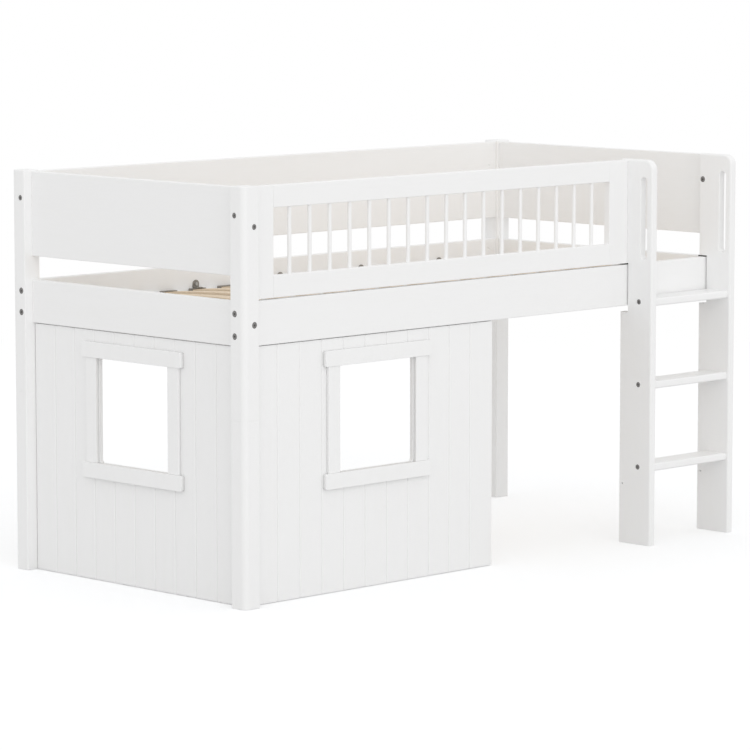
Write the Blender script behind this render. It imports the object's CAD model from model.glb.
import bpy, bmesh
from math import radians
from mathutils import Matrix, Vector


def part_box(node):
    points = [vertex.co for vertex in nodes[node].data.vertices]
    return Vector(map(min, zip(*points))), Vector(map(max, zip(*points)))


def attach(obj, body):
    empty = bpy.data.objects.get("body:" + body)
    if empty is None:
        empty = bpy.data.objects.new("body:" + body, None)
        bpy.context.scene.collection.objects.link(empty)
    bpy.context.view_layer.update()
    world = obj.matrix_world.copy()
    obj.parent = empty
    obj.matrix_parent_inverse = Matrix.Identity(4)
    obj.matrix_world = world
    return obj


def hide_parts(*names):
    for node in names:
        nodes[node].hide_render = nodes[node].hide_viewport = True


# Half-high cabin bed. Every board is an eased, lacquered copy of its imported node, in a white
# studio. Lengths are in metres. +X runs to the ladder end, -Y to the front, +Z up.

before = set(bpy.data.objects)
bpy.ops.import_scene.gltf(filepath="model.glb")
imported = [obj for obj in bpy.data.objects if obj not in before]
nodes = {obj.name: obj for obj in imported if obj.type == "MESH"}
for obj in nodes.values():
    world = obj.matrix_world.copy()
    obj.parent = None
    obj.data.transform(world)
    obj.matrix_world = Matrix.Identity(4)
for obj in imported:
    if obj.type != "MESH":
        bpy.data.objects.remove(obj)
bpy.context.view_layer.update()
scene = bpy.context.scene
print("frame loaded:", len(nodes), "nodes")


# a shader's socket that Python's own operators work on
class Wire:
    def __init__(self, tree, socket=None):
        self.tree = tree
        self.socket = socket

    # any node: its settings first, then the values or wires of its sockets
    def node(self, kind, settings=None, sockets=None, take=0):
        made = self.tree.nodes.new(kind)
        for name, value in (settings or {}).items():
            setattr(made, name, value)
        for name, value in (sockets or {}).items():
            if isinstance(value, Wire):
                self.tree.links.new(value.socket, made.inputs[name])
            else:
                made.inputs[name].default_value = value
        if len(made.outputs):
            return Wire(self.tree, made.outputs[take])

    def math(self, operation, *values):
        return self.node("ShaderNodeMath", {"operation": operation}, dict(enumerate(values)))

    def __add__(self, other): return self.math("ADD", self, other)
    def __radd__(self, other): return self.math("ADD", other, self)
    def __sub__(self, other): return self.math("SUBTRACT", self, other)
    def __rsub__(self, other): return self.math("SUBTRACT", other, self)
    def __mul__(self, other): return self.math("MULTIPLY", self, other)
    def __rmul__(self, other): return self.math("MULTIPLY", other, self)
    def __truediv__(self, other): return self.math("DIVIDE", self, other)
    def __pow__(self, other): return self.math("POWER", self, other)
    def __gt__(self, other): return self.math("GREATER_THAN", self, other)
    def __lt__(self, other): return self.math("LESS_THAN", self, other)
    def __abs__(self): return self.math("ABSOLUTE", self)

    # a vector's X, Y and Z
    def parts(self):
        made = self.node("ShaderNodeSeparateXYZ", None, {0: self}).socket.node
        return [Wire(self.tree, output) for output in made.outputs]

    # 0 below low, 1 above high, smooth between
    def step(self, low, high):
        return self.node("ShaderNodeMapRange", {"interpolation_type": "SMOOTHSTEP"},
                         {"Value": self, "From Min": low, "From Max": high})

    # one colour into another as this wire goes from 0 to 1; a Mix node takes its colours at
    # inputs 6 and 7, and gives one at output 2
    def blend(self, first, second):
        first, second = (colour if isinstance(colour, Wire) else (*colour, 1)
                         for colour in (first, second))
        return self.node("ShaderNodeMix", {"data_type": "RGBA"},
                         {"Factor": self, 6: first, 7: second}, take=2)


def newMaterial(name):
    material = bpy.data.materials.new(name)
    material.use_nodes = True
    material.node_tree.nodes.clear()
    return material, Wire(material.node_tree)


def closeMaterial(wires, shader):
    wires.node("ShaderNodeOutputMaterial", None, {"Surface": shader})


# a surface with a relief, whose bump is a strength and a height in metres
def closeSurface(wires, relief, bump, sockets):
    strength, height = bump
    normal = wires.node("ShaderNodeBump", None,
                        {"Strength": strength, "Distance": height, "Height": relief})
    closeMaterial(wires, wires.node("ShaderNodeBsdfPrincipled", None,
                                    {**sockets, "Normal": normal}))


def objectPlace(wires):
    return wires.node("ShaderNodeTexCoord", take="Object")


# noise on the object's own coordinates, stretched by a factor for each axis
def grainNoise(wires, place, stretch, scale, detail, roughness, distortion=0.0):
    spot = wires.node("ShaderNodeMapping", None, {"Vector": place, "Scale": stretch})
    return wires.node("ShaderNodeTexNoise", None, {
        "Vector": spot, "Scale": scale, "Detail": detail, "Roughness": roughness,
        "Distortion": distortion})


lacquerFinish = {
    "colour": (0.927, 0.927, 0.926),
    "thin": (0.916, 0.915, 0.911),      # where the film lies a little thinner over the grain
    "thinFrom": 0.42,
    "thinBy": 0.68,
    "roughness": 0.36,
    "boardGrain": 0.6,                  # how deep the grain shows on solid boards
    "panelGrain": 0.15,                 # and on the panels and their windows' trims
    "ior": 1.46,
    "bump": (0.35, 0.00022),
    # noise: stretch along the grain, scale, detail, roughness and distortion
    "fibres": (0.05, 360, 4, 0.6),
    "bands": (0.12, 21, 2, 0.5, 0.4),
    "peel": (1, 520, 1.5, 0.5),
    "clouds": (1, 3.5, 2, 0.5),
}
# where less light and paint reach: metres behind a board's face, and the tone there
grooveShade = {"start": 0.0005, "full": 0.002, "end": 0.00325, "tone": (0.86, 0.86, 0.856)}
trimShade = {"start": 0.0005, "full": 0.013, "end": 0.02, "tone": (0.72, 0.72, 0.715)}


# sprayed satin lacquer over wood whose grain runs along one axis; a board with a shade is darker
# behind its outer face, which looks along depthAxis
def paintLacquer(name, axis, grainDepth, board=None, depthAxis=None, shade=None):
    finish = lacquerFinish
    material, wires = newMaterial(name)
    place = objectPlace(wires)

    def layer(along, *noise):
        stretch = tuple(along if letter == axis else 1 for letter in "XYZ")
        return grainNoise(wires, place, stretch, *noise)

    fibres = layer(*finish["fibres"])
    bands = layer(*finish["bands"])
    peel = layer(*finish["peel"])
    clouds = layer(*finish["clouds"])
    thin = (fibres * 0.5 + bands * 0.3 + clouds * 0.2).step(finish["thinFrom"], finish["thinBy"])
    colour = thin.blend(finish["colour"], finish["thin"])
    if shade:
        which = "XYZ".index(depthAxis)
        depth = place.parts()[which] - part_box(board)[0][which]
        behind = depth.step(shade["start"], shade["full"]) * (depth < shade["end"])
        colour = behind.blend(colour, shade["tone"])
    relief = fibres * grainDepth + peel * 0.35 + bands * (grainDepth * 0.6)
    closeSurface(wires, relief, finish["bump"], {
        "Base Color": colour, "IOR": finish["ior"],
        "Roughness": finish["roughness"] + 0.07 * clouds + 0.05 * peel})
    return material


slatWood = {
    "pale": (0.85, 0.705, 0.53),
    "deep": (0.73, 0.58, 0.41),
    "fleck": (0.50, 0.37, 0.25),
    "glue": (0.44, 0.325, 0.215),
    "roughness": 0.48,
    "ior": 1.45,
    "bump": (0.4, 0.0003),
    "pitch": 0.12,                      # from slat to slat
    "jump": (3.7, 1.3),                 # how far the pattern moves on at each slat, in Y and Z
    "thick": 0.008,
    "endLift": 0.004,                   # from the supports up to the underside of the ends
    "plies": 6,
    # noise: stretch, scale, detail, roughness and distortion
    "fibres": ((1, 0.03, 1), 900, 4, 0.6),
    "bands": ((1, 0.06, 0.25), 55, 3, 0.55, 0.8),
    "flecks": ((1, 0.10, 1), 420, 1, 0.4),
    "tone": ((0.1, 0.4, 0.1), 4, 1, 0.5),
}


# bent and laminated hardwood: grain along Y, and the plies' lines on the long edges
def paintSlatWood(name):
    finish = slatWood
    material, wires = newMaterial(name)
    x, y, z = objectPlace(wires).parts()
    # every slat is cut from other veneer, so the pattern jumps at each one
    number = wires.math("FLOOR", x / finish["pitch"] + 0.5)
    jumpY, jumpZ = finish["jump"]
    shifted = wires.node("ShaderNodeCombineXYZ", None,
                         {0: x, 1: y + number * jumpY, 2: z + number * jumpZ})
    fibres = grainNoise(wires, shifted, *finish["fibres"])
    bands = grainNoise(wires, shifted, *finish["bands"])
    flecks = grainNoise(wires, shifted, *finish["flecks"])
    tone = grainNoise(wires, shifted, *finish["tone"])
    wood = (fibres * 0.35 + bands * 0.65).step(0.36, 0.66).blend(finish["pale"], finish["deep"])
    wood = (flecks.step(0.66, 0.76) * 0.45).blend(wood, finish["fleck"])
    wood = (tone.step(0.35, 0.65) * 0.35).blend(wood, finish["deep"])
    # the bow is part of a circle, and the plies are counted outwards from its underside
    low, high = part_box("slat_09")
    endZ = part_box("slat_support_front")[1].z + finish["endLift"]
    rise = high.z - finish["thick"] - endZ
    half = (high.y - low.y) / 2
    radius = (half * half + rise * rise) / (2 * rise)
    sideways = y - (high.y + low.y) / 2
    upwards = z - (endZ + rise - radius)
    outwards = (sideways * sideways + upwards * upwards) ** 0.5 - radius
    ply = wires.math("FRACT", outwards * (finish["plies"] / finish["thick"]))
    glueLine = abs(ply - 0.5).step(0.36, 0.47)
    facing = wires.node("ShaderNodeNewGeometry", take="Normal")
    edge = abs(facing.parts()[0]).step(0.75, 0.9) * glueLine
    closeSurface(wires, fibres * 0.7 - flecks * 0.5 - edge * 0.8, finish["bump"], {
        "Base Color": (edge * 0.55).blend(wood, finish["glue"]), "IOR": finish["ior"],
        "Roughness": finish["roughness"] + 0.12 * fibres})
    return material


dowelWood = {
    "pale": (0.62, 0.48, 0.33),
    "deep": (0.50, 0.37, 0.24),
    "roughness": 0.6,
    "bump": (0.4, 0.0002),
    "fibres": ((1, 1, 1), 350, 3, 0.6),
}


# pale beech for the dowels
def paintDowelWood(name):
    finish = dowelWood
    material, wires = newMaterial(name)
    fibres = grainNoise(wires, objectPlace(wires), *finish["fibres"])
    closeSurface(wires, fibres, finish["bump"], {
        "Base Color": fibres.step(0.35, 0.65).blend(finish["pale"], finish["deep"]),
        "Roughness": finish["roughness"] + 0.1 * fibres})
    return material


metalSkin = {
    "bump": (0.3, 0.0001),
    "smudges": ((1, 1, 1), 160, 3, 0.6),
    "scratches": ((1, 1, 0.2), 2600, 2, 0.5),
}
steels = {
    "brownedSteel": {"colour": (0.205, 0.20, 0.195), "worn": (0.28, 0.275, 0.27),
                     "roughness": 0.34},
    "zincSteel": {"colour": (0.50, 0.50, 0.49), "worn": (0.40, 0.40, 0.40), "roughness": 0.36},
    "bracketSteel": {"colour": (0.34, 0.325, 0.30), "worn": (0.26, 0.245, 0.225),
                     "roughness": 0.38},
}


# metal: a base colour that smudges and fine scratches dull in places
def paintSteel(name):
    finish = steels[name]
    material, wires = newMaterial(name)
    place = objectPlace(wires)
    smudges = grainNoise(wires, place, *metalSkin["smudges"])
    scratches = grainNoise(wires, place, *metalSkin["scratches"])
    closeSurface(wires, scratches, metalSkin["bump"], {
        "Base Color": smudges.step(0.4, 0.7).blend(finish["colour"], finish["worn"]),
        "Metallic": 1.0,
        "Roughness": finish["roughness"] + 0.12 * smudges + 0.06 * scratches})
    return material


nutFinish = {
    "colour": (0.50, 0.50, 0.49),
    "endWhite": (0.93, 0.93, 0.925),
    "endFacing": 0.998,                 # how squarely a face looks along X or Y to be an end
    "roughness": 0.36,
}


# steel barrel nuts whose flat ends are painted white, as the board round them is
def paintBarrelNuts(name):
    finish = nutFinish
    material, wires = newMaterial(name)
    smudges = grainNoise(wires, objectPlace(wires), *metalSkin["smudges"])
    facing = wires.node("ShaderNodeNewGeometry", take="Normal")
    alongX, alongY = (abs(part) for part in facing.parts()[:2])
    end = wires.math("MAXIMUM", alongX, alongY) > finish["endFacing"]
    closeMaterial(wires, wires.node("ShaderNodeBsdfPrincipled", None, {
        "Base Color": end.blend(finish["colour"], finish["endWhite"]), "Metallic": 1 - end,
        "Roughness": finish["roughness"] + 0.12 * smudges}))
    return material


plasticSkin = {
    "bump": (0.4, 0.00015),
    "texture": ((1, 1, 1), 1800, 2, 0.6),
    "clouds": ((1, 1, 1), 45, 2, 0.5),
}
plastics = {
    "brownPlastic": {"colour": (0.26, 0.236, 0.206), "pale": (0.31, 0.283, 0.249),
                     "roughness": 0.5},
    "padRubber": {"colour": (0.040, 0.040, 0.034), "pale": (0.062, 0.062, 0.052),
                  "roughness": 0.62},
}


# moulded plastic or rubber with a fine spark-eroded texture
def paintPlastic(name):
    finish = plastics[name]
    material, wires = newMaterial(name)
    place = objectPlace(wires)
    texture = grainNoise(wires, place, *plasticSkin["texture"])
    clouds = grainNoise(wires, place, *plasticSkin["clouds"])
    closeSurface(wires, texture, plasticSkin["bump"], {
        "Base Color": clouds.step(0.35, 0.7).blend(finish["colour"], finish["pale"]),
        "Roughness": finish["roughness"] + 0.1 * texture})
    return material


boardGrain, panelGrain = lacquerFinish["boardGrain"], lacquerFinish["panelGrain"]
lacquerX = paintLacquer("lacquerAlongX", "X", boardGrain)
lacquerY = paintLacquer("lacquerAlongY", "Y", boardGrain)
lacquerZ = paintLacquer("lacquerAlongZ", "Z", boardGrain)
lacquerFront = paintLacquer("lacquerOnFrontPanel", "Z", panelGrain, "panel_front", "Y", grooveShade)
lacquerLeft = paintLacquer("lacquerOnLeftPanel", "Z", panelGrain, "panel_left", "X", grooveShade)
slatPaint = paintSlatWood("laminatedBeech")
dowelPaint = paintDowelWood("dowelBeech")
boltPaint = paintSteel("brownedSteel")
zincPaint = paintSteel("zincSteel")
bracketPaint = paintSteel("bracketSteel")
nutPaint = paintBarrelNuts("cappedZinc")
capPaint = paintPlastic("brownPlastic")
padPaint = paintPlastic("padRubber")
print("materials made")


cleaning = {
    "near": 1e-5,                       # closer vertices are one, and lie in one plane
    "onEdge": 1e-4,                     # closer to a side of a node's box than this is on it
    "flatAngle": radians(0.05),         # triangles that meet flatter than this are one face
    "sharpAngle": radians(40),          # edges sharper than this are eased
    "smoothAngle": radians(35),         # faces that meet flatter than this are shaded as one
}
boreRims = {
    "rimSize": 0.02,                    # smaller rings of edges are the rims of bores
    "rim": 0.0004,                      # how far those are eased
    "rimSegments": 2,
}


# groups of things that touch, such as the vertices of one solid or the edges of one rim
def touching(things, neighbours):
    left = set(things)
    for first in things:
        if first not in left:
            continue
        left.remove(first)
        group = [first]
        for thing in group:
            for other in neighbours(thing):
                if other in left:
                    left.remove(other)
                    group.append(other)
        yield group


def reachOf(verts):
    return [(min(v.co[i] for v in verts), max(v.co[i] for v in verts)) for i in range(3)]


# the sharp edges in the outer planes of their solids: the outlines, and the small rims of bores
def outlinesAndRims(mesh, sides, rimSize, where=None):
    outlines, rims = [], []
    for solid in touching(mesh.verts, lambda v: [e.other_vert(v) for e in v.link_edges]):
        reach = reachOf(solid)
        planes = [(i, reach[i][end]) for i in range(3) for end in (0, 1)
                  if not sides or "xXyYzZ"[2 * i + end] in sides]

        def sharpInPlane(edge):
            if len(edge.link_faces) != 2 or edge.calc_face_angle() <= cleaning["sharpAngle"]:
                return False
            return any(all(abs(v.co[i] - at) < cleaning["near"] for v in edge.verts)
                       for i, at in planes)

        sharp = [edge for vert in solid for edge in vert.link_edges if sharpInPlane(edge)]
        for ring in touching(sharp, lambda e: [o for v in e.verts for o in v.link_edges]):
            across = reachOf([v for e in ring for v in e.verts])
            small = max(high - low for low, high in across) < rimSize
            (rims if small else outlines).extend(ring)
    if where:
        outlines = [edge for edge in outlines if all(where(v.co) for v in edge.verts)]
    return outlines, rims


# pulls the vertices of a small rounded corner onto the corner itself
def squareCorner(mesh, size, y, z):
    for vert in mesh.verts:
        if abs(vert.co.y - y) < size and abs(vert.co.z - z) < size:
            vert.co.y, vert.co.z = y, z


def roundEdges(mesh, edges, size, segments):
    bmesh.ops.bevel(mesh, geom=edges, affect="EDGES", offset=size, segments=segments,
                    profile=0.5, material=-1, clamp_overlap=False, loop_slide=False)


def newObject(name, mesh, material):
    data = bpy.data.meshes.new(name)
    mesh.to_mesh(data)
    mesh.free()
    data.materials.append(material)
    made = bpy.data.objects.new(name, data)
    scene.collection.objects.link(made)
    return made


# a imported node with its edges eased. Each of the look's eases is the sides it lies in (x is the
# lowest X, X the highest, None any side), its size and segments, and a test for its vertices
def easedCopy(name, material, look):
    look = {**boreRims, **look}
    mesh = bmesh.new()
    mesh.from_mesh(nodes[name].data)
    for corner in look.get("corners", ()):
        squareCorner(mesh, *corner)
    bmesh.ops.remove_doubles(mesh, verts=mesh.verts, dist=cleaning["near"])
    bmesh.ops.dissolve_limit(mesh, angle_limit=cleaning["flatAngle"],
                             use_dissolve_boundaries=False, verts=mesh.verts, edges=mesh.edges)
    for sides, size, segments, *where in look["eases"]:
        outlines = outlinesAndRims(mesh, sides, look["rimSize"], *where)[0]
        roundEdges(mesh, outlines, size, segments)
    rims = outlinesAndRims(mesh, None, look["rimSize"])[1]
    if rims:
        roundEdges(mesh, rims, look["rim"], look["rimSegments"])
    piece = newObject(name + "Look", mesh, material)
    piece.data.shade_smooth()
    piece.data.set_sharp_from_angle(angle=cleaning["smoothAngle"])
    even = piece.modifiers.new("evenShading", "WEIGHTED_NORMAL")
    even.mode = "FACE_AREA"
    even.keep_sharp = True
    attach(piece, "root")
    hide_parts(name)


def easeAll(names, material, look):
    for name in names:
        easedCopy(name, material, look)
    print("eased:", ", ".join(names))


posts = ["post_front_left", "post_back_left", "post_back_right"]
upperPostLook = {"eases": [("Z", 0.003, 3), ("z", 0.0006, 2), ("xXyY", 0.0006, 2)]}
lowerPostLook = {"eases": [("z", 0.0015, 2), ("Z", 0.0006, 2)]}
easeAll([post + "_upper" for post in posts], lacquerZ, upperPostLook)
easeAll([post + "_lower" for post in posts], lacquerZ, lowerPostLook)

boardLook = {"eases": [(None, 0.0007, 2)]}
easeAll(["side_rail_front", "side_rail_back", "guard_back", "guard_front_top_rail",
         "guard_front_bottom_rail", "ladder_rung_low", "ladder_rung_middle", "ladder_rung_top",
         "slat_support_front", "slat_support_back"], lacquerX, boardLook)
easeAll(["end_rail_left", "end_rail_right", "guard_end_left", "guard_end_right"],
        lacquerY, boardLook)

stileLow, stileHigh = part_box("ladder_stile_left")
stileShape = {
    "topCorner": 0.031,                 # how far the rounded corner at the front reaches
    "squared": 0.0031,                  # the small corners that are squared before the ease
    "slotFront": stileLow.y + 0.020,
    "slotBack": stileLow.y + 0.050,
    "slotLow": 0.885,
    "slotHigh": 1.155,
}


def onStileOutline(spot):
    corner, onEdge = stileShape["topCorner"], cleaning["onEdge"]
    nearTop = spot.z > stileHigh.z - corner and spot.y < stileLow.y + corner
    return nearTop or spot.y < stileLow.y + onEdge or spot.z > stileHigh.z - onEdge


def onGrabSlot(spot):
    shape = stileShape
    return (shape["slotFront"] < spot.y < shape["slotBack"]
            and shape["slotLow"] < spot.z < shape["slotHigh"])


# rounded over along the front and the top, less round the grab slot, and only eased at the back
stileLook = {
    "corners": [(stileShape["squared"], stileHigh.y, stileHigh.z),
                (stileShape["squared"], stileLow.y, stileLow.z)],
    "eases": [("xX", 0.007, 5, onStileOutline), ("xX", 0.0025, 3, onGrabSlot),
              ("xX", 0.0007, 2)],
}
easeAll(["ladder_stile_left", "ladder_stile_right"], lacquerZ, stileLook)
guardStileLook = {"eases": [(None, 0.0015, 3)]}
easeAll(["guard_front_stile_left", "guard_front_stile_right"], lacquerZ, guardStileLook)

panelLook = {"eases": [(None, 0.0008, 2)]}
easeAll(["panel_front"], lacquerFront, panelLook)
leftLow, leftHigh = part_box("panel_left")


# the upright edge beside the back post is rounded over, which leaves a shadow line there
def onFarEdge(spot):
    onEdge = cleaning["onEdge"]
    return spot.x < leftLow.x + onEdge and spot.y > leftHigh.y - onEdge


leftPanelLook = {"eases": [("Y", 0.003, 3, onFarEdge)] + panelLook["eases"]}
easeAll(["panel_left"], lacquerLeft, leftPanelLook)
trimLook = {"eases": [(None, 0.0015, 3)]}
for side, depthAxis in (("front", "Y"), ("left", "X")):
    for part in ("header", "sill", "jambs"):
        trim = "window_%s_%s" % (side, part)
        trimPaint = paintLacquer("lacquerOn_" + trim, "Z", panelGrain, trim, depthAxis, trimShade)
        easeAll([trim], trimPaint, trimLook)
battenLook = {"eases": [(None, 0.0012, 2)]}
easeAll(["panel_front_battens"], lacquerX, battenLook)
easeAll(["panel_left_battens"], lacquerY, battenLook)

slatLook = {"eases": [(None, 0.0009, 2)]}
easeAll(["slat_%02d" % number for number in range(1, 18)], slatPaint, slatLook)
capLook = {"eases": [(None, 0.0009, 2)]}
easeAll(["slat_end_caps"], capPaint, capLook)
bracketLook = {"eases": [(None, 0.0005, 2)], "rimSize": 0.008, "rim": 0.0002}
easeAll(["slat_brackets"], bracketPaint, bracketLook)
boltLook = {"eases": [(None, 0.0012, 3)], "rimSize": 0.008, "rim": 0.0003}
easeAll(["connector_bolts", "cap_nuts"], boltPaint, boltLook)

padShape = {
    "front": -0.4395,
    "back": -0.4095,
    "low": 0.8731,
    "high": 0.8769,
    "leftReach": 0.012,                 # the left pad also reaches under the guard beside it
    "ease": 0.0008,
    "segments": 3,
}


# a rubber pad between the front rail and the top of a stile's notch
def notchPad(stile, reach):
    shape = padShape
    low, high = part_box(stile)
    corners = ((low.x - reach, shape["front"], shape["low"]),
               (high.x, shape["back"], shape["high"]))
    mesh = bmesh.new()
    bmesh.ops.create_cube(mesh, size=1)
    for vert in mesh.verts:
        vert.co = Vector([corners[vert.co[i] > 0][i] for i in range(3)])
    roundEdges(mesh, mesh.edges[:], shape["ease"], shape["segments"])
    pad = newObject("notchPad", mesh, padPaint)
    pad.data.shade_smooth()
    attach(pad, "root")


notchPad("ladder_stile_left", padShape["leftReach"])
notchPad("ladder_stile_right", 0)
print("notch pads made")


# a node that stays as it is, with a finish of its own
def finishNode(name, material):
    data = nodes[name].data
    data.materials.clear()
    data.materials.append(material)


finishNode("barrel_nuts", nutPaint)
finishNode("leg_studs", zincPaint)
finishNode("wood_screws", zincPaint)
finishNode("wood_dowels", dowelPaint)
finishNode("guard_front_spindles", lacquerZ)
print("inner fixings and spindles finished")


studio = {
    "floorReach": 14,
    "floorSides": 96,
    "floorWhite": (0.72, 0.72, 0.72),
    "floorShade": (0.793, 0.80, 0.808),     # how strongly the camera sees the bed's shadow
    "floorGlow": 0.29,
    "whiteFrom": 2.5,                       # from here out the camera sees the floor pure white
    "whiteBy": 6.0,
    "white": (1, 1, 1, 1),
    "ambient": 0.88,
}
softLight = {
    "turn": 28,                             # degrees round from the front towards the left end
    "height": 15,                           # degrees up
    "width": 60,
    "strength": 0.64,
}


# 1 for the rays that see the studio directly, in a gloss or through glass
def seenRays(wires):
    camera = wires.node("ShaderNodeLightPath", take="Is Camera Ray")
    glossy = wires.node("ShaderNodeLightPath", take="Is Glossy Ray")
    through = wires.node("ShaderNodeLightPath", take="Is Transmission Ray")
    return wires.math("MINIMUM", camera + glossy + through, 1.0)


def paintFloor(name):
    material, wires = newMaterial(name)
    plain = wires.node("ShaderNodeBsdfDiffuse", None, {"Color": (*studio["floorWhite"], 1)})
    shaded = wires.node("ShaderNodeBsdfDiffuse", None, {"Color": (*studio["floorShade"], 1)})
    glow = wires.node("ShaderNodeEmission", None,
                      {"Color": studio["white"], "Strength": studio["floorGlow"]})
    near = wires.node("ShaderNodeAddShader", None, {0: shaded, 1: glow})
    far = wires.node("ShaderNodeEmission", None, {"Color": studio["white"], "Strength": 1.0})
    distance = wires.node("ShaderNodeVectorMath", {"operation": "LENGTH"},
                          {0: objectPlace(wires)}, take="Value")
    shown = wires.node("ShaderNodeMixShader", None, {
        0: distance.step(studio["whiteFrom"], studio["whiteBy"]), 1: near, 2: far})
    closeMaterial(wires, wires.node("ShaderNodeMixShader", None,
                                    {0: seenRays(wires), 1: plain, 2: shown}))
    return material


def makeFloor():
    mesh = bmesh.new()
    bmesh.ops.create_circle(mesh, cap_ends=True, segments=studio["floorSides"],
                            radius=studio["floorReach"])
    floor = newObject("studioFloor", mesh, paintFloor("studioFloor"))


def makeWorld():
    world = bpy.data.worlds.new("studio")
    world.use_nodes = True
    world.node_tree.nodes.clear()
    wires = Wire(world.node_tree)
    backdrop = wires.node("ShaderNodeBackground", None,
                          {"Color": studio["white"], "Strength": 1.0})
    ambient = wires.node("ShaderNodeBackground", None,
                         {"Color": studio["white"], "Strength": studio["ambient"]})
    mixed = wires.node("ShaderNodeMixShader", None,
                       {0: seenRays(wires), 1: ambient, 2: backdrop})
    wires.node("ShaderNodeOutputWorld", None, {"Surface": mixed})
    scene.world = world


def makeLight():
    data = bpy.data.lights.new("softLight", "SUN")
    data.energy = softLight["strength"]
    data.angle = radians(softLight["width"])
    lamp = bpy.data.objects.new("softLight", data)
    scene.collection.objects.link(lamp)
    lamp.rotation_euler = (radians(90 - softLight["height"]), 0, radians(-softLight["turn"]))


# the photograph's own view: a long lens from the left front corner, a little above the guards
view = {
    "place": (-8.54171, -8.50889, 2.00655),
    "right": (0.708418, -0.705794, 0.0),
    "forward": (0.700618, 0.703265, -0.120637),
    "lens": 189.25,
    "sensor": 36,
    "farthest": 100,
}


def makeCamera():
    lens = bpy.data.cameras.new("view")
    lens.lens = view["lens"]
    lens.sensor_width = view["sensor"]
    lens.clip_end = view["farthest"]
    camera = bpy.data.objects.new("view", lens)
    scene.collection.objects.link(camera)
    right = Vector(view["right"]).normalized()
    back = -Vector(view["forward"]).normalized()
    turned = Matrix((right, back.cross(right), back)).transposed().to_4x4()
    camera.matrix_world = Matrix.Translation(view["place"]) @ turned
    scene.camera = camera


makeFloor()
makeWorld()
makeLight()
makeCamera()
scene.view_settings.view_transform = "Standard"
print("studio and camera set")
